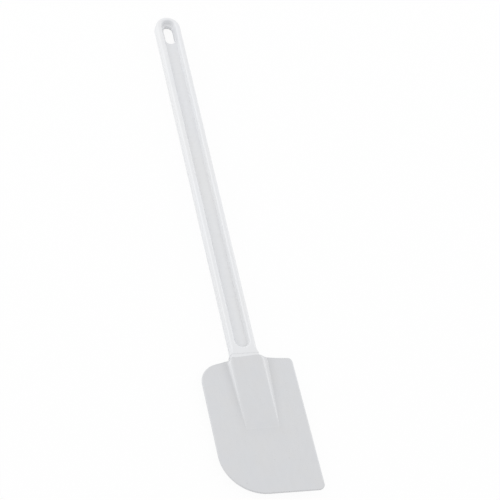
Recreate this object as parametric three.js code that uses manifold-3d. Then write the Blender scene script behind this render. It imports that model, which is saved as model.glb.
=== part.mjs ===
// Rubber spatula: a rigid moulded handle whose tang is locked inside a flexible rubber blade.
// Millimetres, +Z up. It lies on its back, with the hang end towards +Y and the blade tip towards -Y.
// Both pieces are drawn about the handle's middle plane (z = 0), with y = 0 at the seat where they meet.
import * as THREE from 'three';
import { mergeVertices } from 'three/addons/utils/BufferGeometryUtils.js';
import Module from 'manifold-3d';

const wasm = await Module();
wasm.setup();

// Handle bar
const HANDLE_LENGTH = 313.1; // from the seat to the end of the head
const HANDLE_THICKNESS = 10;
const HEAD_WIDTH = 19.8;
const NECK_WIDTH = 19.5;
const FLARE_WIDTH = 21.2; // the neck widens to this just above the collar
const FLARE_LENGTH = 7;
const RIM_ROUNDING = 2.6; // rounding of the bar's long outer edges

// Channel sunk into each face of the bar
const WEB_THICKNESS = 3.2; // what is left between the two channels
const CHANNEL_FLOOR_WIDTH = 8.4;
const CHANNEL_WALL_RUN = 1.75; // sideways run of each sloping wall
const CHANNEL_CROWN = 1.5; // rounding where the walls meet the bar's face
const CHANNEL_NECK_MARGIN = 9.6; // from the seat to the lower end of the floor
const CHANNEL_HEAD_MARGIN = 5.7; // from the upper end of the floor to the end of the head

// Slot through the web, for hanging the spatula on a hook
const HANG_SLOT_WIDTH = 7.6;
const HANG_SLOT_LENGTH = 17.1;
const HANG_SLOT_LEDGE = 2.5; // floor left between the slot and the channel's upper end

// Collar that the blade butts against
const COLLAR_LENGTH = 2.8;
const COLLAR_STEP = 0.2; // how far it lies below the bar's surface all round

// Tang inside the blade, with windows that the rubber fills
const TANG_LENGTH = 46;
const TANG_WIDTH = 17;
const TANG_TIP_WIDTH = 13;
const TANG_TIP_ROUNDING = 4;
const TANG_THICKNESS = 5.6;
const TANG_TIP_THICKNESS = 2;
const WINDOW_COUNT = 2;
const WINDOW_LENGTH = 9;
const WINDOW_WIDTH = 5.6;
const WINDOW_PITCH = 17;
const FIRST_WINDOW = 12; // from the seat to the middle of the first window
const TANG_CLEARANCE = 0.3; // between the tang and its socket, all round

// Blade plate
const BLADE_LENGTH = 106.4; // from the seat to the tip
const BLADE_WIDTH = 70; // at the shoulders
const SQUARE_SIDE_LEAN = 1.4; // how far the square corner's side leans out towards the tip
const ROUND_CORNER = 31.5; // the corner that wipes a bowl
const SQUARE_CORNER = 4.2; // the corner that scrapes a jar
const ROUND_SHOULDER = 17;
const ROUND_SHOULDER_DROP = 4.4; // how far it falls from the hub to the side
const SQUARE_SHOULDER = 5;
const SQUARE_SHOULDER_DROP = 0.9;
const PLATE_THICKNESS = 4; // round the hub
const EDGE_THICKNESS = 2; // at the rim, which is half-round

// Hub: a wedge on each face, flush with the bar at the seat and running out into the plate
const HUB_LENGTH = 57;
const HUB_FACE_WIDTH = 24.4; // near the seat
const HUB_TOE_WIDTH = 22.6; // where the face runs out
const HUB_SIDE_RUN = 1; // sideways run of its sloping sides for each unit of height
const HUB_EDGE_ROUNDING = 1.2;
const HUB_CORNER = 2.6; // rounding of its corners at the seat, seen from above
const HUB_END_DROP = 0.6; // how far its faces round down to the seat
const HUB_RUNOUT = 5; // how far it carries on below the plate's surface

// Fineness of round forms
const ARC_STEPS = 14;
const ROUNDING_STEPS = 4;

const HANDLE_FINISH = new THREE.MeshStandardMaterial({ color: 0xe9eaec, roughness: 0.38, metalness: 0 });
const BLADE_FINISH = new THREE.MeshStandardMaterial({ color: 0xd6d7da, roughness: 0.6, metalness: 0 });

/** A closed geometry as a solid that can be joined and cut. */
function solid(geometry) {
  const bare = geometry.clone();
  bare.deleteAttribute('normal');
  bare.deleteAttribute('uv');
  const merged = mergeVertices(bare);
  const vertProperties = Float32Array.from(merged.attributes.position.array);
  const triVerts = Uint32Array.from(merged.index.array);
  return new wasm.Manifold(new wasm.Mesh({ numProp: 3, vertProperties, triVerts }));
}

/** A finished solid as a named mesh. */
function piece(name, body, material) {
  const { vertProperties, triVerts } = body.getMesh();
  const geometry = new THREE.BufferGeometry();
  geometry.setAttribute('position', new THREE.BufferAttribute(vertProperties, 3));
  geometry.setIndex(new THREE.BufferAttribute(triVerts, 1));
  geometry.computeVertexNormals();
  const mesh = new THREE.Mesh(geometry, material);
  mesh.name = name;
  return mesh;
}

/** An outline through corners [x, y, radius], counter-clockwise, each rounded by a true arc. */
function roundedOutline(corners, steps) {
  const at = (i) => new THREE.Vector2(...corners.at(i % corners.length));
  return corners.flatMap(([, , radius], i) => {
    const corner = at(i);
    if (radius === 0) {
      return [corner];
    }
    const back = at(i - 1).sub(corner).normalize();
    const ahead = at(i + 1).sub(corner).normalize();
    const halfAngle = Math.acos(back.dot(ahead)) / 2;
    const inward = back.clone().add(ahead).setLength(radius / Math.sin(halfAngle));
    const centre = corner.clone().add(inward);
    const start = corner.clone().addScaledVector(back, radius / Math.tan(halfAngle));
    const turn = Math.PI - 2 * halfAngle;
    return Array.from({ length: steps + 1 }, (_, k) => start.clone().rotateAround(centre, turn * k / steps));
  });
}

/** A slot outline along Y with half-round ends. */
function slotOutline(width, yLow, yHigh) {
  const radius = width / 2;
  const shape = new THREE.Shape();
  shape.absarc(0, yHigh - radius, radius, 0, Math.PI);
  shape.absarc(0, yLow + radius, radius, Math.PI, 2 * Math.PI);
  return shape;
}

/** A shape extruded to the given thickness, centred on z = 0. */
function slab(shape, thickness) {
  const geometry = new THREE.ExtrudeGeometry(shape, {
    depth: thickness,
    bevelEnabled: false,
    curveSegments: ARC_STEPS,
  });
  return geometry.translate(0, 0, -thickness / 2);
}

/** Flat rings of equal count, each { points, level }, joined from the lowest to the highest and capped. */
function loft(rings) {
  const count = rings[0].points.length;
  const positions = rings.flatMap(({ points, level }) => points.flatMap(({ x, y }) => [x, y, level]));
  const index = [];
  for (let low = 0; low < (rings.length - 1) * count; low += count) {
    for (let i = 0; i < count; i += 1) {
      const next = (i + 1) % count;
      index.push(low + i, low + next, low + count + next);
      index.push(low + i, low + count + next, low + count + i);
    }
  }
  const last = (rings.length - 1) * count;
  for (const [a, b, c] of THREE.ShapeUtils.triangulateShape(rings[0].points, [])) {
    index.push(c, b, a);
  }
  for (const [a, b, c] of THREE.ShapeUtils.triangulateShape(rings.at(-1).points, [])) {
    index.push(last + a, last + b, last + c);
  }
  const geometry = new THREE.BufferGeometry();
  geometry.setAttribute('position', new THREE.Float32BufferAttribute(positions, 3));
  geometry.setIndex(index);
  return geometry;
}

/** The bar: round head, slight taper and flared neck, with rounded long edges and a square lower end. */
function bar() {
  const headY = HANDLE_LENGTH - HEAD_WIDTH / 2;
  const neckY = COLLAR_LENGTH + FLARE_LENGTH;
  const flareY = COLLAR_LENGTH + FLARE_LENGTH / 3; // where the neck's side, carried on straight, would bend
  const overrun = 2 * RIM_ROUNDING; // the rounded lower end, which is sawn off square
  const overrunY = COLLAR_LENGTH - overrun;
  const outline = new THREE.Shape();
  outline.moveTo(FLARE_WIDTH / 2, overrunY);
  outline.lineTo(FLARE_WIDTH / 2, COLLAR_LENGTH);
  outline.quadraticCurveTo(NECK_WIDTH / 2, flareY, NECK_WIDTH / 2, neckY);
  outline.lineTo(HEAD_WIDTH / 2, headY);
  outline.absarc(0, headY, HEAD_WIDTH / 2, 0, Math.PI);
  outline.lineTo(-NECK_WIDTH / 2, neckY);
  outline.quadraticCurveTo(-NECK_WIDTH / 2, flareY, -FLARE_WIDTH / 2, COLLAR_LENGTH);
  outline.lineTo(-FLARE_WIDTH / 2, overrunY);
  const straightDepth = HANDLE_THICKNESS - 2 * RIM_ROUNDING;
  const geometry = new THREE.ExtrudeGeometry(outline, {
    depth: straightDepth,
    bevelThickness: RIM_ROUNDING,
    bevelSize: RIM_ROUNDING,
    bevelOffset: -RIM_ROUNDING,
    bevelSegments: ROUNDING_STEPS,
    curveSegments: ARC_STEPS,
  });
  geometry.translate(0, 0, -straightDepth / 2);
  const sawn = new THREE.BoxGeometry(2 * FLARE_WIDTH, 2 * overrun, 2 * HANDLE_THICKNESS);
  sawn.translate(0, COLLAR_LENGTH - overrun, 0);
  return solid(geometry).subtract(solid(sawn));
}

/** Where the channel's floor ends in the head. */
const channelTopY = HANDLE_LENGTH - CHANNEL_HEAD_MARGIN;

/** What is cut out of the upper face for its channel: a slot with leaning walls that round over at the top. */
function channelCut() {
  const floorZ = WEB_THICKNESS / 2;
  const faceZ = HANDLE_THICKNESS / 2;
  const slope = Math.atan2(faceZ - floorZ, CHANNEL_WALL_RUN);
  const ring = (reach, level) => {
    const width = CHANNEL_FLOOR_WIDTH + 2 * reach;
    const outline = slotOutline(width, CHANNEL_NECK_MARGIN - reach, channelTopY + reach);
    return { points: outline.getPoints(ARC_STEPS), level };
  };
  const rings = [ring(0, floorZ)];
  for (let k = ROUNDING_STEPS; k >= 0; k -= 1) {
    const angle = k / ROUNDING_STEPS * slope;
    const reach = CHANNEL_WALL_RUN + CHANNEL_CROWN * (Math.tan(slope / 2) - Math.sin(angle));
    rings.push(ring(reach, faceZ - CHANNEL_CROWN * (1 - Math.cos(angle))));
  }
  rings.push({ points: rings.at(-1).points, level: HANDLE_THICKNESS });
  return solid(loft(rings));
}

/** The slot that the spatula hangs by. */
function hangSlotCut() {
  const topY = channelTopY - HANG_SLOT_LEDGE;
  const outline = slotOutline(HANG_SLOT_WIDTH, topY - HANG_SLOT_LENGTH, topY);
  return solid(slab(outline, HANDLE_THICKNESS));
}

/** The collar: the bar's flared section, sunk by one step all round. */
function collar() {
  const halfWidth = FLARE_WIDTH / 2 - COLLAR_STEP;
  const halfThickness = HANDLE_THICKNESS / 2 - COLLAR_STEP;
  const section = roundedOutline([
    [halfWidth, halfThickness, RIM_ROUNDING],
    [-halfWidth, halfThickness, RIM_ROUNDING],
    [-halfWidth, -halfThickness, RIM_ROUNDING],
    [halfWidth, -halfThickness, RIM_ROUNDING],
  ], ROUNDING_STEPS);
  const length = COLLAR_LENGTH + RIM_ROUNDING; // it reaches into the bar
  const geometry = slab(new THREE.Shape(section), length);
  return solid(geometry.rotateX(Math.PI / 2).translate(0, length / 2, 0));
}

/** The tang, larger all round by grow: a tapered tongue with windows, thinner towards its tip. */
function tang(grow) {
  const rootY = COLLAR_LENGTH / 2; // it starts inside the collar
  const tipY = -TANG_LENGTH - grow;
  const outline = new THREE.Shape(roundedOutline([
    [TANG_WIDTH / 2 + grow, rootY, 0],
    [-TANG_WIDTH / 2 - grow, rootY, 0],
    [-TANG_TIP_WIDTH / 2 - grow, tipY, TANG_TIP_ROUNDING + grow],
    [TANG_TIP_WIDTH / 2 + grow, tipY, TANG_TIP_ROUNDING + grow],
  ], ARC_STEPS));
  for (let i = 0; i < WINDOW_COUNT; i += 1) {
    const middleY = -FIRST_WINDOW - i * WINDOW_PITCH;
    const reach = WINDOW_LENGTH / 2 - grow;
    outline.holes.push(slotOutline(WINDOW_WIDTH - 2 * grow, middleY - reach, middleY + reach));
  }
  const side = new THREE.Shape([
    new THREE.Vector2(TANG_THICKNESS / 2 + grow, rootY),
    new THREE.Vector2(-TANG_THICKNESS / 2 - grow, rootY),
    new THREE.Vector2(-TANG_TIP_THICKNESS / 2 - grow, tipY),
    new THREE.Vector2(TANG_TIP_THICKNESS / 2 + grow, tipY),
  ]);
  const wedge = slab(side, 2 * TANG_WIDTH).rotateY(Math.PI / 2);
  return solid(slab(outline, 2 * TANG_THICKNESS)).intersect(solid(wedge));
}

/** The plate's outline, drawn in by inset: a hub line at the seat, two shoulders, a round and a square corner. */
function plateOutline(inset) {
  const hubHalf = HUB_FACE_WIDTH / 2 + HUB_SIDE_RUN * (HANDLE_THICKNESS - EDGE_THICKNESS) / 2;
  const side = BLADE_WIDTH / 2 - inset;
  const tipY = -BLADE_LENGTH + inset;
  return roundedOutline([
    [hubHalf, -inset, 0],
    [-hubHalf, -inset, 0],
    [-side, -ROUND_SHOULDER_DROP - inset, ROUND_SHOULDER - inset],
    [-side, tipY, ROUND_CORNER - inset],
    [side + SQUARE_SIDE_LEAN, tipY, SQUARE_CORNER - inset],
    [side, -SQUARE_SHOULDER_DROP - inset, SQUARE_SHOULDER - inset],
  ], ARC_STEPS);
}

/** The flat top of the plate below the hub, from which it tapers to the rim on all sides. */
function plateauOutline() {
  const seatHalf = HUB_FACE_WIDTH / 2 + HUB_SIDE_RUN * (HANDLE_THICKNESS - PLATE_THICKNESS) / 2;
  const toeHalf = HUB_TOE_WIDTH / 2;
  const topY = -EDGE_THICKNESS / 2;
  const shoulderY = topY - SQUARE_SHOULDER_DROP;
  const rounding = HUB_EDGE_ROUNDING;
  return roundedOutline([
    [seatHalf / 2, topY, 0],
    [-seatHalf / 2, topY, 0],
    [-seatHalf, shoulderY, rounding],
    [-toeHalf, -HUB_LENGTH, rounding],
    [toeHalf, -HUB_LENGTH, rounding],
    [seatHalf, shoulderY, rounding],
  ], ARC_STEPS);
}

/** The plate: a half-round rim that rises on both faces to the plateau. */
function plate() {
  const rim = EDGE_THICKNESS / 2;
  const rings = [];
  for (let k = -ROUNDING_STEPS; k <= ROUNDING_STEPS; k += 1) {
    const angle = k / ROUNDING_STEPS * Math.PI / 2;
    rings.push({ points: plateOutline(rim * (1 - Math.cos(angle))), level: rim * Math.sin(angle) });
  }
  const plateau = plateauOutline();
  rings.unshift({ points: plateau, level: -PLATE_THICKNESS / 2 });
  rings.push({ points: plateau, level: PLATE_THICKNESS / 2 });
  return solid(loft(rings));
}

/** The hub's section at a distance from the seat: two flat faces with sloping sides, drawn in by a share. */
function hubSection(distance, drawnIn) {
  const share = distance / HUB_LENGTH;
  const fullHeight = THREE.MathUtils.lerp(HANDLE_THICKNESS, PLATE_THICKNESS, share) / 2;
  const fullFace = THREE.MathUtils.lerp(HUB_FACE_WIDTH, HUB_TOE_WIDTH, share) / 2;
  const height = fullHeight - HUB_END_DROP * drawnIn;
  const face = fullFace - HUB_CORNER * drawnIn;
  const root = EDGE_THICKNESS / 2;
  const base = face + HUB_SIDE_RUN * (height - root);
  return roundedOutline([
    [base, root, 0],
    [face, height, HUB_EDGE_ROUNDING],
    [-face, height, HUB_EDGE_ROUNDING],
    [-base, root, 0],
    [-base, -root, 0],
    [-face, -height, HUB_EDGE_ROUNDING],
    [face, -height, HUB_EDGE_ROUNDING],
    [base, -root, 0],
  ], ROUNDING_STEPS);
}

/** The wedge on both faces of the plate, lofted from its rounded end at the seat to below the plate's surface. */
function hub() {
  const rings = [];
  for (let k = 0; k <= ROUNDING_STEPS; k += 1) {
    const angle = k / ROUNDING_STEPS * Math.PI / 2;
    const distance = HUB_CORNER * (1 - Math.cos(angle));
    rings.push({ points: hubSection(distance, 1 - Math.sin(angle)), level: distance });
  }
  const length = HUB_LENGTH + HUB_RUNOUT;
  rings.push({ points: hubSection(length, 0), level: length });
  return solid(loft(rings).rotateX(Math.PI / 2));
}

const mirrored = new THREE.Matrix4().makeRotationY(Math.PI).toArray();
const upperChannel = channelCut();
const lowerChannel = upperChannel.transform(mirrored);

const handleBody = bar()
  .subtract(upperChannel)
  .subtract(lowerChannel)
  .subtract(hangSlotCut())
  .add(collar())
  .add(tang(0));
const bladeBody = plate().add(hub()).subtract(tang(TANG_CLEARANCE));

const spatula = new THREE.Group();
spatula.add(piece('handle', handleBody, HANDLE_FINISH));
spatula.add(piece('blade', bladeBody, BLADE_FINISH));

// The origin is at the middle of the footprint, on the surface that the spatula lies on.
spatula.position.set(0, (BLADE_LENGTH - HANDLE_LENGTH) / 2, HANDLE_THICKNESS / 2);

export default spatula;
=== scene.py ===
"""Looks of the rubber spatula: a white moulded handle and a grey-white blade on a pale studio floor.

Both pieces are drawn in millimetres about the handle's middle plane, with y = 0 at the seat where
they meet. Each is built for its upper face, mirrored to the lower one and closed all round.
"""

import math

import bmesh
import bpy
from mathutils import Matrix, Vector
from mathutils.geometry import tessellate_polygon


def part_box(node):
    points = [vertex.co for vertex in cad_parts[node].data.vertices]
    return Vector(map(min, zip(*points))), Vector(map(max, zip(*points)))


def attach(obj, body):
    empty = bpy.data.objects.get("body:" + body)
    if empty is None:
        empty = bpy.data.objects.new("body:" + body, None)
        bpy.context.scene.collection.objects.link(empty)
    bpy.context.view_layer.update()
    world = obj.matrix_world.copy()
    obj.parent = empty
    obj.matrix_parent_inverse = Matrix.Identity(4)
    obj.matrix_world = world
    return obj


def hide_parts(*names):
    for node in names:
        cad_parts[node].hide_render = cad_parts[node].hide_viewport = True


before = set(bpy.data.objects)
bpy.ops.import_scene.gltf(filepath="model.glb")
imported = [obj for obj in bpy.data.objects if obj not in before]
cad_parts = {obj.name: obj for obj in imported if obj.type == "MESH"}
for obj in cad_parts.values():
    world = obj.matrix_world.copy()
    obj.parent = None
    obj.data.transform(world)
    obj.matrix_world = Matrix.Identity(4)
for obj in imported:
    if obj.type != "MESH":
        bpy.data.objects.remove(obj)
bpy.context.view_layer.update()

MM = 0.001

# Sizes that the frame gives
HANDLE_LOW, HANDLE_HIGH = (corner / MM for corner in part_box("handle"))
BLADE_LOW, BLADE_HIGH = (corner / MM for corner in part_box("blade"))
SEAT = Vector((0, BLADE_HIGH.y, (HANDLE_LOW.z + HANDLE_HIGH.z) / 2))
HALF_THICKNESS = (HANDLE_HIGH.z - HANDLE_LOW.z) / 2
HANDLE_LENGTH = HANDLE_HIGH.y - SEAT.y
TANG_LENGTH = SEAT.y - HANDLE_LOW.y
BLADE_LENGTH = SEAT.y - BLADE_LOW.y
BLADE_HALF = -BLADE_LOW.x

# Handle bar
HEAD_HALF = 9.9
NECK_HALF = 9.75
FLARE_HALF = 10.6
FLARE_LENGTH = 7
RIM_ROUNDING = 2.6  # of the bar's long outer edges
NECK_TIGHTNESS = 0.35  # share of that rounding's width left at the lower end
BAR_EDGE = 0.1  # rounding of the bar's lower end
MOULD_LINE = 0.05  # height of the ridge that the mould leaves round the sides
MOULD_LINE_HALF = 0.12

# Channel in each face
CHANNEL_FLOOR = 1.6  # above the middle plane
CHANNEL_FLOOR_HALF = 4.3
CHANNEL_WALL_RUN = 1.65  # sideways run of each sloping wall
CHANNEL_FOOT = 0.15  # rounding at the foot of its walls
CHANNEL_CROWN = 1.7  # rounding where its walls meet the rim
CHANNEL_HEAD_MARGIN = 4.5  # from its floor's upper end to the end of the head
CHANNEL_LOW = 9.6
CHANNEL_HIGH = HANDLE_LENGTH - CHANNEL_HEAD_MARGIN
HEAD_STEEPNESS = 0.55  # share of the walls' run at the head end
CROWN_HIGHLIGHT = 0.3  # how strongly a highlight is painted along the crown
FOOT_SHADE = 0.75  # how strongly shade is painted along the foot of the walls
FOOT_SHADE_REACH = 2.2  # how far that painted shade goes in across the floor

# Hang slot through the channel's floor
SLOT_HALF = 4.1
SLOT_LENGTH = 17.95
SLOT_LEDGE = 2.85  # floor left between the slot and the channel's upper end
SLOT_HIGH = CHANNEL_HIGH - SLOT_LEDGE
SLOT_LOW = SLOT_HIGH - SLOT_LENGTH
SLOT_EDGE = 0.1  # rounding of its edge
SLOT_DRAFT = 0.62  # how far its walls lean in towards the middle plane
SLOT_LIGHT = 1  # how strongly light is painted on its right wall

# Collar, tang and the tang's windows
COLLAR_LENGTH = 2.8
COLLAR_STEP = 0.2  # how far it lies below the bar's surface
COLLAR_FILLET = 0.08
COLLAR_EDGE = 0.12
TANG_ROOT = 1.4  # it starts inside the collar
TANG_HALF = 8.5
TANG_TIP_HALF = 6.5
TANG_TIP_ROUNDING = 4
TANG_RISE = 2.8  # half its thickness at the root
TANG_TIP_RISE = 1
WINDOW_HALF = 2.8
WINDOW_REACH = 4.5  # half its length
WINDOW_MIDDLES = (-12, -29)
TANG_CLEARANCE = 0.3  # between the tang and its socket in the blade

# Blade plate
SIDE_LEAN = 1.4  # how far the square corner's side leans out towards the tip
TIP_LEAN = 0.9  # rise of the tip towards the round corner
ROUND_CORNER = 31.5
SQUARE_CORNER = 4.2
ROUND_SHOULDER = 15
ROUND_SHOULDER_START = 1.6  # how far below the hub's end it begins
ROUND_SHOULDER_DROP = 3.9
SQUARE_SHOULDER = 3.7
SQUARE_SHOULDER_DROP = 0.9
PLATE_SEAT_HALF = 17  # where the shoulders start
PLATE_RISE = 2  # half the plate's thickness round the hub
PLATE_SAG = 0.12  # dip of the plate between the hub and the rim
RIM_RISE = 1  # half its thickness at the rim
RIM_REACH = 1.6  # how far the rim's rounding goes in
TIP_REACH = 0.12  # the same at the tip, which is cut square
TIP_SHADE_REACH = 8  # how far the shade painted along the tip's edge goes up the sides

# Hub wedge on the plate, with distances from the middle at the seat and at the toe
HUB_LENGTH = 57
HUB_FALL = 0.75  # power of the distance from its toe that its height follows
CREST_RIGHT = (11.8, 12.6)
CREST_LEFT = (11.4, 10.9)
FOOT_RIGHT = (16.2, 13.5)
FOOT_LEFT = (14.4, 11.3)
CREST_CORNERS = ((1.2, 1), (1.2, 0))  # rounding and rise of its right and left corner at the seat
FOOT_CORNERS = ((0.6, 0), (1.9, -0.9))
HUB_PIVOT = 4  # how far from the seat these corners end
SEAT_EDGE = 0.3  # rounding of its end
FOOT_FILLET = 0.8
CREST_ROUNDING = 1.5
FACE_INSET = 3 * CREST_ROUNDING  # of the line on its face where that rounding has ended
HUB_TOE_ROUNDING = 1.2
TOE_SETBACK = 0.5  # of the crest from the foot, at the toe
VALLEY_REACH = 7  # how far the shade painted round the hub's foot goes out
CONTRAST_FADE = 0.35  # how the painted highlights and shade fade as the hub gets lower, as a power of its height

# Fineness
ARC_STEPS = 24
RIM_STEPS = 8
EDGE_STEPS = 4
STRAIGHT_STEPS = 20
PLATE_STEPS = 8
SOFT_SHARE = 0.45  # the most of a fold's side that its rounding takes up
SHARP_ANGLE = math.radians(35)
WELD_DIGITS = 4  # corners are one where they agree to this many decimals

# Colours, fresh and aged
PLASTIC = (0.778, 0.788, 0.808)
PLASTIC_AGED = (0.783, 0.788, 0.798)
RUBBER = (0.658, 0.667, 0.687)
RUBBER_AGED = (0.664, 0.668, 0.68)

# Patterns: size in metres, octaves of detail, and how far they are drawn out along X, Y and Z
FLOW_MARKS = (0.012, 3, (1, 4, 1))
PLASTIC_PATCHES = (0.004, 4)
PLASTIC_GRAIN = (0.0007, 2)
MOTTLING = (0.016, 4)
SCUFFS = (0.003, 4, (1, 3, 1))
RUBBER_GRAIN = (0.0005, 2)
PATTERN_SPAN = (0.3, 0.7)  # what most of a pattern lies between
AGE_SPAN = (0.35, 0.65)

# What the patterns, and the highlights and shade painted on the skins, do to colour and roughness, and
# the relief's depth in metres
PLASTIC_SHADES = (0.993, 1.007)
PLASTIC_ROUGHNESS = (0.28, 0.38)
PLASTIC_RELIEF = 0.00001
RUBBER_SHADES = (0.992, 1.008)
RUBBER_ROUGHNESS = (0.23, 0.33)
RUBBER_RELIEF = 0.000012
SPECK_SPACING = 0.011
SPECK_EDGE = (0.02, 0.045)  # where a speck fades out, as a share of the spacing
SPECK_SHADES = (0.86, 1)
PAINTED_LIGHT_SPAN = (-1, 1)  # from shade painted in a hollow to a highlight painted on a crest
PAINTED_LIGHT_SHADES = (0.93, 1.07)
HOLLOW_CREST_ROUGHNESS = (0.04, -0.04)

# Floor and light, with places and sizes in metres and power in watts
FLOOR = (0.9, 0.9, 0.9)
FLOOR_WHITENESS = 0.94  # share of pure white in what the camera sees of the floor
FLOOR_REACH = 12
WORLD_LIGHT = 0.92
LAMP_SIZE = 0.55
LEFT_LAMP = Vector((-0.849, 0.551, 0.43))
LEFT_POWER = 2.1
RIGHT_LAMP = Vector((0.937, 0.437, 0.376))
RIGHT_POWER = 1.4

# Camera at the photograph's viewing angle
CAMERA_TARGET = Vector((0.02376, -0.01057, 0.005))
CAMERA_DISTANCE = 1.48
CAMERA_AZIMUTH = math.radians(-29.99)
CAMERA_ELEVATION = math.radians(53.29)
CAMERA_ROLL = math.radians(22.04)
CAMERA_ANGLE = math.radians(14.237)


def lerp(start, end, share):
    return start + (end - start) * share


def quarter(steps=EDGE_STEPS):
    """Cosine and sine of the angles from 0 to 90 degrees."""
    angles = (k / steps * math.pi / 2 for k in range(steps + 1))
    return [(math.cos(angle), math.sin(angle)) for angle in angles]


def raised(row, height):
    return [(x, y, height) for x, y in row]


class Skin:
    """The faces of a piece's upper half, whose corners are welded where they meet."""

    def __init__(self):
        self.points = []
        self.known = {}
        self.faces = []
        self.painted_light_and_gloss = {}  # of some corners: -1 where shade is painted in a hollow, 1 where a highlight is painted on a crest

    def corner(self, point):
        key = tuple(round(value, WELD_DIGITS) for value in point)
        if key not in self.known:
            self.known[key] = len(self.points)
            self.points.append(tuple(point))
        return self.known[key]

    def face(self, points):
        corners = [self.corner(point) for point in points]
        corners = [corner for i, corner in enumerate(corners) if corner != corners[i - 1]]
        if len(corners) > 2:
            self.faces.append(corners)

    def strips(self, rows, closed=False):
        """Quads from each row of points to the next."""
        for row, other in zip(rows, rows[1:]):
            for i in range(0 if closed else 1, len(row)):
                self.face((row[i - 1], row[i], other[i], other[i - 1]))

    def fill(self, *loops):
        """A flat face inside the first loop, with the other loops left open."""
        points = [point for loop in loops for point in loop]
        for triangle in tessellate_polygon([[Vector(point) for point in loop] for loop in loops]):
            self.face([points[i] for i in triangle])

    def bridge(self, row):
        """Quads across an open row, from its two ends to its middle."""
        half = (len(row) + 1) // 2
        self.strips([row[:half], row[:-half - 1:-1]])

    def mark(self, row, painted_light_and_gloss):
        for point, value in zip(row, painted_light_and_gloss):
            self.painted_light_and_gloss[self.corner(point)] = value

    def whole(self):
        """Points and faces of both halves, in metres and in the frame's place."""
        for corner, value in list(self.painted_light_and_gloss.items()):
            x, y, z = self.points[corner]
            self.painted_light_and_gloss[self.corner((x, y, -z))] = value
        for corners in list(self.faces):
            lower = [self.points[corner] for corner in reversed(corners)]
            self.face([(x, y, -z) for x, y, z in lower])
        places = [(SEAT + Vector(point)) * MM for point in self.points]
        return places, self.faces


def rounded_row(corners):
    """An open row of points, clockwise through corners (x, y, radius).

    It has arcs at the corners, and the straights between them are evenly divided.
    """
    def straight(end):
        start = row[-1]
        return [start.lerp(end, k / STRAIGHT_STEPS) for k in range(1, STRAIGHT_STEPS)]

    places = [Vector(corner[:2]) for corner in corners]
    row = [places[0]]
    for i in range(1, len(corners) - 1):
        radius = corners[i][2]
        back = (places[i - 1] - places[i]).normalized()
        ahead = (places[i + 1] - places[i]).normalized()
        half_turn = (math.pi - back.angle(ahead)) / 2
        start = places[i] + back * radius * math.tan(half_turn)
        inward = Vector((back.y, -back.x)) * -radius
        centre = start + inward
        row += straight(start)
        for k in range(ARC_STEPS + 1):
            turn = Matrix.Rotation(-2 * half_turn * k / ARC_STEPS, 2)
            row.append(centre + turn @ (start - centre))
    return row + straight(places[-1]) + [places[-1]]


def slot_row(half, low, high):
    """A closed row of points round a slot along Y with half-round ends."""
    angles = [k / ARC_STEPS * math.pi for k in range(ARC_STEPS + 1)]
    upper = [(half * math.cos(a), high - half + half * math.sin(a)) for a in angles]
    lower = [(-half * math.cos(a), low + half - half * math.sin(a)) for a in angles]
    return upper + lower


def drawn_in(section, distance, step):
    """A half section across Y, drawn in all round and moved by a step in Y.

    It runs from the middle plane on the right over the top to the middle plane on the left.
    """
    flat = [Vector((x, z)) for x, _, z in section]
    before = Vector((flat[1].x, -flat[1].y))
    after = Vector((flat[-2].x, -flat[-2].y))
    padded = [before, *flat, after]
    moved = []
    for i, place in enumerate(flat):
        along = (padded[i + 2] - padded[i]).normalized()
        x, z = place + Vector((-along.y, along.x)) * distance
        moved.append((x, section[i][1] + step, z))
    return moved


def section_of(rows):
    """The half section that the ends of rows make at the seat."""
    return [row[0] for row in rows] + [row[-1] for row in reversed(rows)]


def add_tang(skin, grow):
    """Adds the tang's upper half, larger all round by grow, and gives its edge in the seat's plane."""
    tip_y = -TANG_LENGTH - grow

    def between(root, tip, y):
        return lerp(root, tip, (TANG_ROOT - y) / (TANG_ROOT - tip_y)) + grow

    def on_top(row):
        return [(x, y, between(TANG_RISE, TANG_TIP_RISE, y)) for x, y in row]

    half = between(TANG_HALF, TANG_TIP_HALF, 0)
    tip_half = TANG_TIP_HALF + grow
    rounding = TANG_TIP_ROUNDING + grow
    outline = rounded_row([
        (half, 0, 0),
        (tip_half, tip_y, rounding),
        (-tip_half, tip_y, rounding),
        (-half, 0, 0),
    ])
    reach = WINDOW_REACH - grow
    windows = [
        slot_row(WINDOW_HALF - grow, middle - reach, middle + reach)
        for middle in WINDOW_MIDDLES
    ]
    skin.strips([raised(outline, 0), on_top(outline)])
    for window in windows:
        skin.strips([raised(window, 0), on_top(window)], closed=True)
    skin.fill(on_top(outline), *(on_top(window) for window in windows))
    rise = between(TANG_RISE, TANG_TIP_RISE, 0)
    return [(half, 0, 0), (half, 0, rise), (-half, 0, rise), (-half, 0, 0)]


def bar_row(inset):
    """The bar's outline from its lower right end round the head to its lower left end."""
    flare_y = COLLAR_LENGTH + BAR_EDGE
    neck_y = flare_y + FLARE_LENGTH
    head_y = HANDLE_LENGTH - HEAD_HALF
    right = []
    for k in range(ARC_STEPS + 1):
        share = k / ARC_STEPS
        x = lerp(NECK_HALF, FLARE_HALF, (1 - share) ** 2)
        y = flare_y + FLARE_LENGTH * (2 * share * (1 - share) / 3 + share ** 2)
        right.append((x - inset * lerp(NECK_TIGHTNESS, 1, share), y))
    for k in range(1, STRAIGHT_STEPS):
        share = k / STRAIGHT_STEPS
        right.append((lerp(NECK_HALF, HEAD_HALF, share) - inset, lerp(neck_y, head_y, share)))
    left = [(-x, y) for x, y in reversed(right)]
    radius = HEAD_HALF - inset
    angles = [k / (2 * ARC_STEPS) * math.pi for k in range(2 * ARC_STEPS + 1)]
    head = [(radius * math.cos(a), head_y + radius * math.sin(a)) for a in angles]
    return right + head + left


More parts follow.
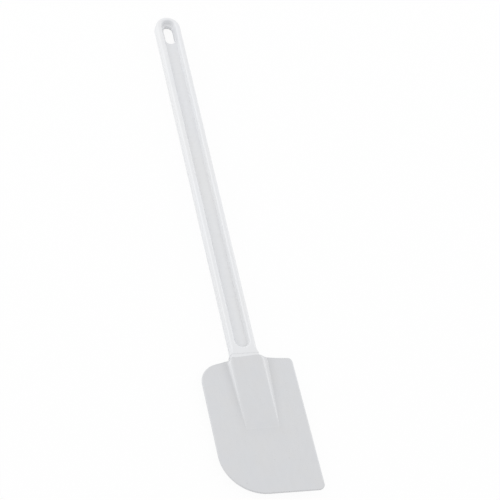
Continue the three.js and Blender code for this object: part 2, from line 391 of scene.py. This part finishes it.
def side_rows():
    """Rows round the bar, from the mould line up over the rim's rounding."""
    rows = [
        raised(bar_row(0), 0),
        raised(bar_row(MOULD_LINE), MOULD_LINE_HALF),
    ]
    for cosine, sine in quarter(RIM_STEPS):
        inset = MOULD_LINE + RIM_ROUNDING * (1 - cosine)
        rows.append(raised(bar_row(inset), HALF_THICKNESS - RIM_ROUNDING * (1 - sine)))
    return rows


def channel_row(run, height):
    """A line round the channel's wall, at a run outwards from its floor."""
    low = CHANNEL_LOW - run
    high = CHANNEL_HIGH + run * HEAD_STEEPNESS
    return raised(slot_row(CHANNEL_FLOOR_HALF + run, low, high), height)


def channel_rows():
    """Rows over the crown of the channel's wall, and rows round its foot down to the floor."""
    slope = math.atan2(HALF_THICKNESS - CHANNEL_FLOOR, CHANNEL_WALL_RUN)
    crown = []
    for k in range(RIM_STEPS + 1):
        angle = k / RIM_STEPS * slope
        reach = CHANNEL_CROWN * (math.tan(slope / 2) - math.sin(angle))
        height = HALF_THICKNESS - CHANNEL_CROWN * (1 - math.cos(angle))
        crown.append(channel_row(CHANNEL_WALL_RUN + reach, height))
    foot = []
    for k in range(EDGE_STEPS + 1):
        angle = (1 - k / EDGE_STEPS) * slope
        reach = CHANNEL_FOOT * (math.sin(angle) - math.tan(slope / 2))
        height = CHANNEL_FLOOR + CHANNEL_FOOT * (1 - math.cos(angle))
        foot.append(channel_row(reach, height))
    return crown, foot


def foot_shade(x, y):
    """Painted shade at the foot of the channel's walls, which is darkest low on the right."""
    across = max(0, x / CHANNEL_FLOOR_HALF) ** 2
    return -FOOT_SHADE * across * (CHANNEL_HIGH - y) / (CHANNEL_HIGH - CHANNEL_LOW)


def slot_rows():
    """Rows over the hang slot's edge and down to its waist in the middle plane."""
    rows = []
    for cosine, sine in quarter():
        reach = SLOT_EDGE * (1 - sine)
        row = slot_row(SLOT_HALF + reach, SLOT_LOW - reach, SLOT_HIGH + reach)
        rows.append(raised(row, CHANNEL_FLOOR - SLOT_EDGE * (1 - cosine)))
    waist = slot_row(SLOT_HALF - SLOT_DRAFT, SLOT_LOW + SLOT_DRAFT, SLOT_HIGH - SLOT_DRAFT)
    return rows + [raised(waist, 0)]


def collar_rows(end):
    """Rows from the bar's lower end round its edge, in to the collar and along it to the seat."""
    rows = [end]
    for cosine, sine in quarter()[1:]:
        rows.append(drawn_in(end, BAR_EDGE * (1 - cosine), -BAR_EDGE * sine))
    for cosine, sine in quarter():
        inset = COLLAR_STEP - COLLAR_FILLET * (1 - sine)
        rows.append(drawn_in(end, inset, -BAR_EDGE - COLLAR_FILLET * (1 - cosine)))
    for cosine, sine in quarter():
        step = -BAR_EDGE - COLLAR_LENGTH + COLLAR_EDGE * (1 - sine)
        rows.append(drawn_in(end, COLLAR_STEP + COLLAR_EDGE * (1 - cosine), step))
    return rows


def handle_skin():
    skin = Skin()
    side = side_rows()
    skin.strips(side)

    crown, foot = channel_rows()
    skin.strips(crown + foot, closed=True)
    skin.fill(side[-1], crown[0])
    # Highlights painted along the crown of the channel's walls
    for k, row in enumerate(crown):
        crown_light = CROWN_HIGHLIGHT * math.sin(k / RIM_STEPS * math.pi)
        skin.mark(row, [crown_light] * len(row))
    # Shade painted along the foot of the channel's walls
    for row in foot:
        skin.mark(row, [foot_shade(x, y) for x, y, _ in row])

    slot = slot_rows()
    skin.strips(slot, closed=True)
    # Light painted on the slot's right wall and edge
    for row in slot[1:]:
        skin.mark(row, [SLOT_LIGHT * max(0, x / SLOT_HALF) for x, _, _ in row])
    # The floor's inner bed, where the painted shade has faded out
    bed_half = CHANNEL_FLOOR_HALF - FOOT_SHADE_REACH
    bed_row = slot_row(bed_half, CHANNEL_LOW + FOOT_SHADE_REACH, SLOT_LOW - FOOT_SHADE_REACH)
    bed = raised(bed_row, CHANNEL_FLOOR)
    skin.fill(foot[-1], slot[0], bed)
    skin.fill(bed)

    collar = collar_rows(section_of(side))
    skin.strips(collar)
    root = add_tang(skin, 0)
    skin.fill(collar[-1] + root[::-1])
    return skin


def hub_row(right, left, corners, setback):
    """A line round the hub, from the seat down its right side, across the toe and up the left side."""
    def corner(half, rounding, rise):
        angles = (k / STRAIGHT_STEPS * math.pi / 2 for k in range(STRAIGHT_STEPS))
        return [
            (half - rounding * (1 - math.sin(a)), lerp(-HUB_PIVOT, rise - SEAT_EDGE, math.cos(a)))
            for a in angles
        ]

    share = HUB_PIVOT / HUB_LENGTH
    right_half = lerp(*right, share)
    left_half = lerp(*left, share)
    toe_y = setback - HUB_LENGTH
    sides = rounded_row([
        (right_half, -HUB_PIVOT, 0),
        (right[1], toe_y, HUB_TOE_ROUNDING),
        (-left[1], toe_y, HUB_TOE_ROUNDING),
        (-left_half, -HUB_PIVOT, 0),
    ])
    # The points of the plate's shoulders all meet the hub where its corners end.
    right_corner = corner(right_half, *corners[0]) + [(right_half, -HUB_PIVOT)] * ARC_STEPS
    left_corner = corner(left_half, *corners[1]) + [(left_half, -HUB_PIVOT)] * ARC_STEPS
    return right_corner + sides + [(-x, y) for x, y in reversed(left_corner)]


def hub_height(y):
    """Height of the hub's face above the middle plane."""
    share = min(1, 1 + y / HUB_LENGTH)
    return lerp(PLATE_RISE, HALF_THICKNESS, share ** HUB_FALL)


def hub_lines():
    """The hub's foot, its crest, and a line on its face inside the crest."""
    def on_face(row):
        return [Vector((x, y, hub_height(y))) for x, y in row]

    foot = raised(hub_row(FOOT_RIGHT, FOOT_LEFT, FOOT_CORNERS, 0), PLATE_RISE)
    crest = hub_row(CREST_RIGHT, CREST_LEFT, CREST_CORNERS, TOE_SETBACK)
    right = [half - FACE_INSET for half in CREST_RIGHT]
    left = [half - FACE_INSET for half in CREST_LEFT]
    face = hub_row(right, left, CREST_CORNERS, FACE_INSET)
    return [Vector(point) for point in foot], on_face(crest), on_face(face)


def plate_row(inset):
    """The plate's outline from the right end of the seat round the tip to its left end."""
    side = BLADE_HALF - inset
    tip_y = inset * TIP_REACH / RIM_REACH - BLADE_LENGTH
    hub_half = PLATE_SEAT_HALF - inset
    return rounded_row([
        (hub_half, -SEAT_EDGE, 0),
        (side, -SQUARE_SHOULDER_DROP - inset, SQUARE_SHOULDER - inset),
        (side + SIDE_LEAN, tip_y, SQUARE_CORNER - inset),
        (-side, tip_y + TIP_LEAN, ROUND_CORNER - inset),
        (-side, -ROUND_SHOULDER_DROP - inset, ROUND_SHOULDER - inset),
        (-hub_half, -SEAT_EDGE - ROUND_SHOULDER_START, 0),
    ])


def rim_rise(x, y):
    """Half the plate's thickness at its rim, which grows along the shoulders towards the hub."""
    if y < -ROUND_SHOULDER - ROUND_SHOULDER_DROP:
        return RIM_RISE
    rim_half = BLADE_HALF - RIM_REACH
    share = (rim_half - abs(x)) / (rim_half - PLATE_SEAT_HALF + RIM_REACH)
    return lerp(RIM_RISE, PLATE_RISE, max(share, 0))


def rim_rows():
    """Rows round the plate, from its edge in the middle plane up over the rim's rounding."""
    rises = [rim_rise(x, y) for x, y in plate_row(RIM_REACH)]
    rows = []
    for cosine, sine in quarter(RIM_STEPS):
        outline = plate_row(RIM_REACH * (1 - cosine))
        rows.append([Vector((x, y, rise * sine)) for (x, y), rise in zip(outline, rises)])
    return rows


def plate_rows(rim, foot):
    """Rows between the rim and the foot of the hub, closer together towards the foot."""
    rows = []
    for k in range(1, PLATE_STEPS):
        share = 1 - (1 - k / PLATE_STEPS) ** 2
        sag = Vector((0, 0, 4 * PLATE_SAG * share * (share - 1)))
        rows.append([a.lerp(b, share) + sag for a, b in zip(rim, foot)])
    return rows


def soft_corner(before, corners, after, length):
    """Rows that round a fold: they leave the row of corners at most length away on both sides."""
    rows = [[] for _ in range(EDGE_STEPS + 1)]
    for start, corner, end in zip(before, corners, after):
        back = start - corner
        ahead = end - corner
        start = corner + back * min(SOFT_SHARE, length / max(back.length, length))
        end = corner + ahead * min(SOFT_SHARE, length / max(ahead.length, length))
        for k, row in enumerate(rows):
            share = k / EDGE_STEPS
            row.append(start.lerp(corner, share).lerp(corner.lerp(end, share), share))
    return rows


def blade_skin():
    skin = Skin()
    rim = rim_rows()
    foot, crest, face = hub_lines()
    foot_fillet = soft_corner(rim[-1], foot, crest, FOOT_FILLET)
    plate = plate_rows(rim[-1], foot_fillet[0])
    crest_rounding = soft_corner(foot, crest, face, CREST_ROUNDING)
    rows = [*rim, *plate, *foot_fillet, *crest_rounding, face]
    skin.strips(rows)
    skin.bridge(face)

    # How strongly shade and highlights are painted round the hub, fading as it gets lower
    heights = [max(0, point.z - PLATE_RISE) / (HALF_THICKNESS - PLATE_RISE) for point in crest]
    contrast = [height ** CONTRAST_FADE for height in heights]
    # Shade painted along the square-cut tip, fading up the sides
    for row in rim[:-1]:
        skin.mark(row, [-max(0, 1 - (point.y + BLADE_LENGTH) / TIP_SHADE_REACH) for point in row])
    # Shade painted on the plate round the hub's foot, fading outwards
    for row in [rim[-1], *plate, *foot_fillet[:-1]]:
        gaps = [(point - low).length / VALLEY_REACH for point, low in zip(row, foot)]
        skin.mark(row, [-high * max(0, 1 - gap) for high, gap in zip(contrast, gaps)])
    # Highlights painted on the hub's crests
    for k, row in enumerate(crest_rounding):
        skin.mark(row, [high * (1 - k / EDGE_STEPS) for high in contrast])

    end = section_of(rows)
    seat = [end]
    for cosine, sine in quarter()[1:]:
        seat.append(drawn_in(end, SEAT_EDGE * (1 - cosine), SEAT_EDGE * sine))
    skin.strips(seat)
    mouth = add_tang(skin, TANG_CLEARANCE)
    skin.fill(seat[-1] + mouth[::-1])
    return skin


def add_piece(node, skin, material):
    """A finished piece in the place of a solid of the frame."""
    name = f"{node}_skin"
    mesh = bpy.data.meshes.new(name)
    points, faces = skin.whole()
    mesh.from_pydata(points, [], faces)
    shell = bmesh.new()
    shell.from_mesh(mesh)
    bmesh.ops.recalc_face_normals(shell, faces=shell.faces)
    shell.to_mesh(mesh)
    shell.free()
    # The corners' painted shade and highlights, which also set their gloss
    painted_light_and_gloss = mesh.attributes.new("painted_light_and_gloss", "FLOAT", "POINT")
    for corner, value in skin.painted_light_and_gloss.items():
        painted_light_and_gloss.data[corner].value = value
    mesh.shade_smooth()
    mesh.set_sharp_from_angle(angle=SHARP_ANGLE)
    mesh.materials.append(material)
    piece = bpy.data.objects.new(name, mesh)
    bpy.context.scene.collection.objects.link(piece)
    shading = piece.modifiers.new("even shading", "WEIGHTED_NORMAL")
    shading.keep_sharp = True
    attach(piece, "root")
    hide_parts(node)


class Finish:
    """A material and its shader nodes, with patterns that lie in the object's own metres."""

    def __init__(self, name):
        self.material = bpy.data.materials.new(name)
        self.material.use_nodes = True
        self.tree = self.material.node_tree
        self.shader = self.tree.nodes["Principled BSDF"]

    def add(self, kind, inputs=None, **settings):
        node = self.tree.nodes.new(f"ShaderNode{kind}")
        for name, value in settings.items():
            setattr(node, name, value)
        for name, value in (inputs or {}).items():
            self.feed(node, name, value)
        return node

    def feed(self, node, name, value):
        """Gives an input of a node a value, or joins another node's output to it."""
        if isinstance(value, bpy.types.NodeSocket):
            self.tree.links.new(value, node.inputs[name])
        else:
            node.inputs[name].default_value = value

    def ramp(self, value, span, results):
        """A value within a span, turned into one between two results."""
        inputs = {
            "Value": value,
            "From Min": span[0],
            "From Max": span[1],
            "To Min": results[0],
            "To Max": results[1],
        }
        return self.add("MapRange", inputs).outputs[0]

    def combine(self, operation, values):
        result = values[0]
        for value in values[1:]:
            result = self.add("Math", {0: result, 1: value}, operation=operation).outputs[0]
        return result

    def places(self, size, stretch=(1, 1, 1)):
        """Coordinates in which a pattern's unit is a size in metres, drawn out by stretch."""
        here = self.add("TexCoord").outputs["Object"]
        scale = [1 / (size * share) for share in stretch]
        return self.add("Mapping", {"Vector": here, "Scale": scale}).outputs[0]

    def clouds(self, size, detail, stretch=(1, 1, 1)):
        """Soft noise."""
        inputs = {"Vector": self.places(size, stretch), "Scale": 1, "Detail": detail}
        return self.add("TexNoise", inputs).outputs[0]

    def specks(self, spacing):
        """Distances from scattered points, as a share of their spacing."""
        inputs = {"Vector": self.places(spacing), "Scale": 1}
        return self.add("TexVoronoi", inputs).outputs["Distance"]

    def painted_light_and_gloss(self, results):
        """The skin's mark of painted shade and highlights, turned into a value between two results."""
        painted_light_and_gloss = self.add("Attribute", attribute_name="painted_light_and_gloss").outputs["Fac"]
        return self.ramp(painted_light_and_gloss, PAINTED_LIGHT_SPAN, results)

    def colour(self, fresh, aged, pattern, shades):
        """A colour that is fresh or aged by a pattern, darkened or lightened by shades about 1."""
        age = self.ramp(pattern, AGE_SPAN, (0, 1))
        inputs = {0: age, 6: (*fresh, 1), 7: (*aged, 1)}  # the sockets for colours
        mixed = self.add("Mix", inputs, data_type="RGBA").outputs[2]
        shade = self.combine("MULTIPLY", shades)
        shaded = self.add("VectorMath", {0: mixed, "Scale": shade}, operation="SCALE").outputs[0]
        self.feed(self.shader, "Base Color", shaded)

    def roughness(self, pattern, results):
        """Roughness between two results by a pattern, lower where highlights are painted on crests and
        higher where shade is painted in hollows.
        """
        parts = [self.ramp(pattern, PATTERN_SPAN, results), self.painted_light_and_gloss(HOLLOW_CREST_ROUGHNESS)]
        self.feed(self.shader, "Roughness", self.combine("ADD", parts))

    def relief(self, patterns, depth):
        """Bumps that are a depth in metres for each unit of the patterns' sum."""
        height = self.combine("ADD", patterns)
        bump = self.add("Bump", {"Height": height, "Distance": depth, "Strength": 1})
        self.feed(self.shader, "Normal", bump.outputs[0])


def plastic_finish():
    """White moulded plastic: flow marks along the handle, a fine satin grain, highlights painted on its
    crowns and in its slot, and shade painted at the foot of its channel walls.
    """
    finish = Finish("handle plastic")
    flow = finish.clouds(*FLOW_MARKS)
    patches = finish.clouds(*PLASTIC_PATCHES)
    grain = finish.clouds(*PLASTIC_GRAIN)
    finish.colour(PLASTIC, PLASTIC_AGED, flow, [
        finish.ramp(patches, PATTERN_SPAN, PLASTIC_SHADES),
        finish.painted_light_and_gloss(PAINTED_LIGHT_SHADES),
    ])
    finish.roughness(patches, PLASTIC_ROUGHNESS)
    finish.relief([grain, flow], PLASTIC_RELIEF)
    return finish.material


def rubber_finish():
    """Pale grey rubber: soft mottling, a few dust specks, shade painted round the hub and along the tip,
    and highlights painted on the hub's crests.
    """
    finish = Finish("blade rubber")
    mottling = finish.clouds(*MOTTLING)
    scuffs = finish.clouds(*SCUFFS)
    grain = finish.clouds(*RUBBER_GRAIN)
    finish.colour(RUBBER, RUBBER_AGED, mottling, [
        finish.ramp(scuffs, PATTERN_SPAN, RUBBER_SHADES),
        finish.ramp(finish.specks(SPECK_SPACING), SPECK_EDGE, SPECK_SHADES),
        finish.painted_light_and_gloss(PAINTED_LIGHT_SHADES),
    ])
    finish.roughness(scuffs, RUBBER_ROUGHNESS)
    finish.relief([grain, scuffs], RUBBER_RELIEF)
    return finish.material


def floor_finish():
    """A matte floor, nearly white to the camera and in reflections, that keeps the object's shadow."""
    finish = Finish("floor")
    finish.feed(finish.shader, "Base Color", (*FLOOR, 1))
    finish.feed(finish.shader, "Roughness", 1)
    finish.feed(finish.shader, "Specular IOR Level", 0)
    rays = finish.add("LightPath").outputs
    seen_by = ("Is Camera Ray", "Is Glossy Ray", "Is Transmission Ray")
    seen = finish.combine("MAXIMUM", [rays[name] for name in seen_by])
    white = finish.add("Emission").outputs[0]
    both = finish.add("MixShader", {
        0: finish.combine("MULTIPLY", [seen, FLOOR_WHITENESS]),
        1: finish.shader.outputs[0],
        2: white,
    })
    finish.feed(finish.tree.nodes["Material Output"], "Surface", both.outputs[0])
    return finish.material


def add_floor():
    mesh = bpy.data.meshes.new("floor")
    signs = ((-1, -1), (1, -1), (1, 1), (-1, 1))
    corners = [(x * FLOOR_REACH, y * FLOOR_REACH, 0) for x, y in signs]
    mesh.from_pydata(corners, [], [(0, 1, 2, 3)])
    mesh.materials.append(floor_finish())
    floor = bpy.data.objects.new("floor", mesh)
    bpy.context.scene.collection.objects.link(floor)


def add_world():
    """Even white light all round."""
    world = bpy.data.worlds.new("studio")
    world.use_nodes = True
    background = world.node_tree.nodes["Background"]
    background.inputs["Color"].default_value = (1, 1, 1, 1)
    background.inputs["Strength"].default_value = WORLD_LIGHT
    bpy.context.scene.world = world


def add_lamp(name, place, power):
    """A soft round lamp that points at the origin."""
    data = bpy.data.lights.new(name, "AREA")
    data.shape = "DISK"
    data.size = LAMP_SIZE
    data.energy = power
    lamp = bpy.data.objects.new(name, data)
    bpy.context.scene.collection.objects.link(lamp)
    lamp.location = place
    lamp.rotation_euler = (-place).to_track_quat("-Z", "Y").to_euler()


def add_camera():
    data = bpy.data.cameras.new("camera")
    data.angle = CAMERA_ANGLE
    camera = bpy.data.objects.new("camera", data)
    bpy.context.scene.collection.objects.link(camera)
    turn = Matrix.Rotation(CAMERA_AZIMUTH, 4, "Z")
    tilt = Matrix.Rotation(math.pi / 2 - CAMERA_ELEVATION, 4, "X")
    roll = Matrix.Rotation(CAMERA_ROLL, 4, "Z")
    back = Matrix.Translation((0, 0, CAMERA_DISTANCE))
    camera.matrix_world = Matrix.Translation(CAMERA_TARGET) @ turn @ tilt @ roll @ back
    bpy.context.scene.camera = camera


bpy.context.scene.view_settings.view_transform = "Standard"
add_camera()
add_world()
add_floor()
add_lamp("left", LEFT_LAMP, LEFT_POWER)
add_lamp("right", RIGHT_LAMP, RIGHT_POWER)

add_piece("handle", handle_skin(), plastic_finish())
add_piece("blade", blade_skin(), rubber_finish())
